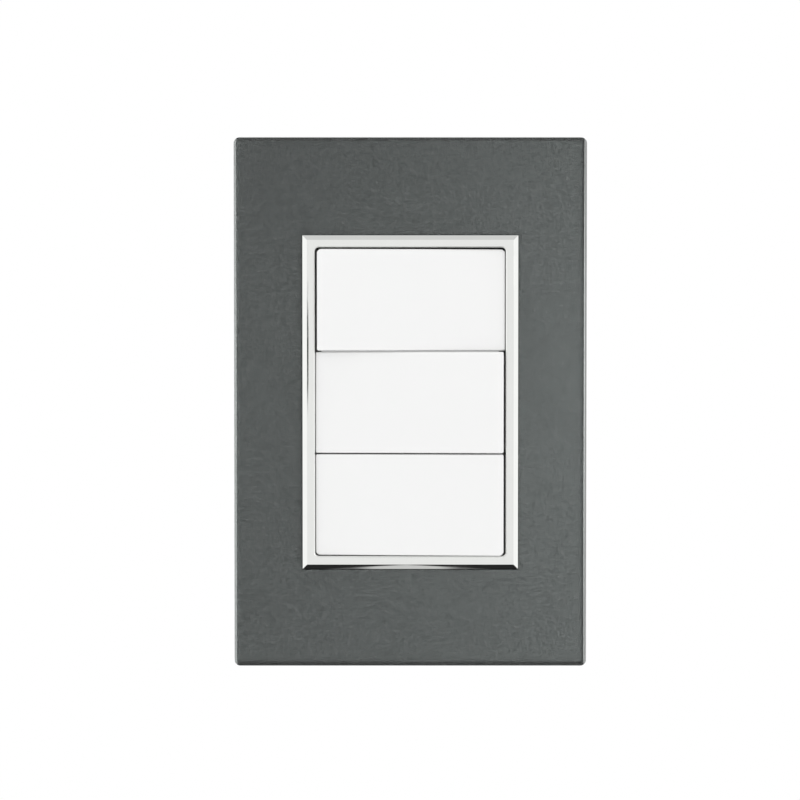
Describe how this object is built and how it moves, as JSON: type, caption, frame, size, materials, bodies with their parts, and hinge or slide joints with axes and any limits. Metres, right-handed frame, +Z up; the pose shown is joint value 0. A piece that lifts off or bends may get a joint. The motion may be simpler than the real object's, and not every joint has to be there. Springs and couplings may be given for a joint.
{
  "type": "wall plate cover",
  "caption": "Upright glass-faced wall plate cover with a crowned bezel round a window of full-width horizontal rocker keys, snapped over a screw-on support frame.",
  "frame": {"origin": "on the wall's face, midway between the two box screws", "axes": "+X to the right as seen from the room, +Y into the wall, +Z up; the front faces -Y"},
  "size_m": [0.08, 0.035, 0.12],
  "materials": {
    "plate_glass": "clear float glass, polished, with a ground arris",
    "charcoal_coat": "charcoal lacquer with fine metallic fleck, seen through the glass",
    "foam_tape": "closed-cell foam tape",
    "chrome_trim": "bright chrome plating on moulded ABS",
    "carrier_plastic": "fine spark-eroded texture",
    "frame_plastic": "satin glass-filled nylon",
    "switch_case_plastic": "satin polycarbonate",
    "key_white": "high-gloss white polycarbonate",
    "plunger_nylon": "natural nylon",
    "spring_steel": "drawn spring wire",
    "lever_copper": "stamped copper alloy",
    "contact_silver": "silver alloy",
    "terminal_brass": "bright stamped brass",
    "zinc_steel": "zinc plated"
  },
  "bodies": {
    "root": {"support_frame": "frame_plastic", "box_screws": "zinc_steel", "top_switch_front": "switch_case_plastic", "top_switch_housing": "switch_case_plastic", "top_fixed_contact": "contact_silver", "top_common_terminal": "terminal_brass", "top_switched_terminal": "terminal_brass", "top_terminal_screws": "zinc_steel", "middle_switch_front": "switch_case_plastic", "middle_switch_housing": "switch_case_plastic", "middle_fixed_contact": "contact_silver", "middle_common_terminal": "terminal_brass", "middle_switched_terminal": "terminal_brass", "middle_terminal_screws": "zinc_steel", "bottom_switch_front": "switch_case_plastic", "bottom_switch_housing": "switch_case_plastic", "bottom_fixed_contact": "contact_silver", "bottom_common_terminal": "terminal_brass", "bottom_switched_terminal": "terminal_brass", "bottom_terminal_screws": "zinc_steel"},
    "cover": {"glass_plate": "plate_glass", "colour_coat": "charcoal_coat", "adhesive_pads": "foam_tape", "chrome_bezel": "chrome_trim", "cover_carrier": "carrier_plastic"},
    "top_key": {"top_rocker": "key_white", "top_plunger": "plunger_nylon", "top_plunger_spring": "spring_steel"},
    "middle_key": {"middle_rocker": "key_white", "middle_plunger": "plunger_nylon", "middle_plunger_spring": "spring_steel"},
    "bottom_key": {"bottom_rocker": "key_white", "bottom_plunger": "plunger_nylon", "bottom_plunger_spring": "spring_steel"},
    "top_switch_lever": {"top_contact_lever": "lever_copper", "top_moving_contact": "contact_silver"},
    "middle_switch_lever": {"middle_contact_lever": "lever_copper", "middle_moving_contact": "contact_silver"},
    "bottom_switch_lever": {"bottom_contact_lever": "lever_copper", "bottom_moving_contact": "contact_silver"}
  },
  "joints": [
    {"name": "cover_pull", "type": "slide", "parent": "root", "child": "cover", "axis": [0, -1, 0], "range_m": [0, 0.03]},
    {"name": "top_rocker_tilt", "type": "hinge", "parent": "root", "child": "top_key", "pos_m": [0, -0.0076, 0.0232], "axis": [0, 0, -1], "range_deg": [0, 6]},
    {"name": "middle_rocker_tilt", "type": "hinge", "parent": "root", "child": "middle_key", "pos_m": [0, -0.0076, 0], "axis": [0, 0, 1], "range_deg": [0, 6]},
    {"name": "bottom_rocker_tilt", "type": "hinge", "parent": "root", "child": "bottom_key", "pos_m": [0, -0.0076, -0.0232], "axis": [0, 0, 1], "range_deg": [0, 6]},
    {"name": "top_lever_tilt", "type": "hinge", "parent": "root", "child": "top_switch_lever", "pos_m": [0, 0.0057, 0.0232], "axis": [0, 0, 1], "range_deg": [0, 16]},
    {"name": "middle_lever_tilt", "type": "hinge", "parent": "root", "child": "middle_switch_lever", "pos_m": [0, 0.0057, 0], "axis": [0, 0, -1], "range_deg": [0, 16]},
    {"name": "bottom_lever_tilt", "type": "hinge", "parent": "root", "child": "bottom_switch_lever", "pos_m": [0, 0.0057, -0.0232], "axis": [0, 0, -1], "range_deg": [0, 16]}
  ],
  "couplings": [
    {"joint": "top_lever_tilt", "follows": "top_rocker_tilt", "ratio": 2.6667},
    {"joint": "middle_lever_tilt", "follows": "middle_rocker_tilt", "ratio": 2.6667},
    {"joint": "bottom_lever_tilt", "follows": "bottom_rocker_tilt", "ratio": 2.6667}
  ]
}
